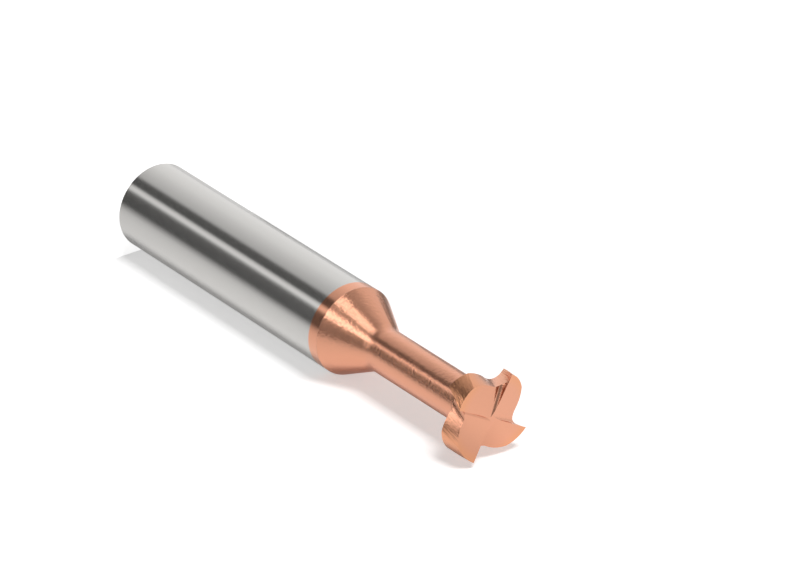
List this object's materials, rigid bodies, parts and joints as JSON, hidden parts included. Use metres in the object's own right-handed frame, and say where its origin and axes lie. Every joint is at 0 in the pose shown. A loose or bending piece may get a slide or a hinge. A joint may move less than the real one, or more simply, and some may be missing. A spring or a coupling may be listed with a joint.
{
  "type": "t-slot cutter",
  "caption": "Solid T-slot milling cutter: plain round shank, cone, slim neck and a toothed disc-like head with helical flutes.",
  "frame": {"origin": "centre of the shank's flat end face, which the tool stands on", "axes": "+Z along the tool's axis from the shank's end to the toothed head; one tooth's end cutting edge points along +X"},
  "size_m": [0.012, 0.012, 0.0725],
  "materials": {
    "ground_carbide": "ground carbide, bare grey on the shank and copper-coloured hard coating on the cone, neck and head"
  },
  "bodies": {
    "root": {"cutter": "ground_carbide"}
  },
  "joints": []
}
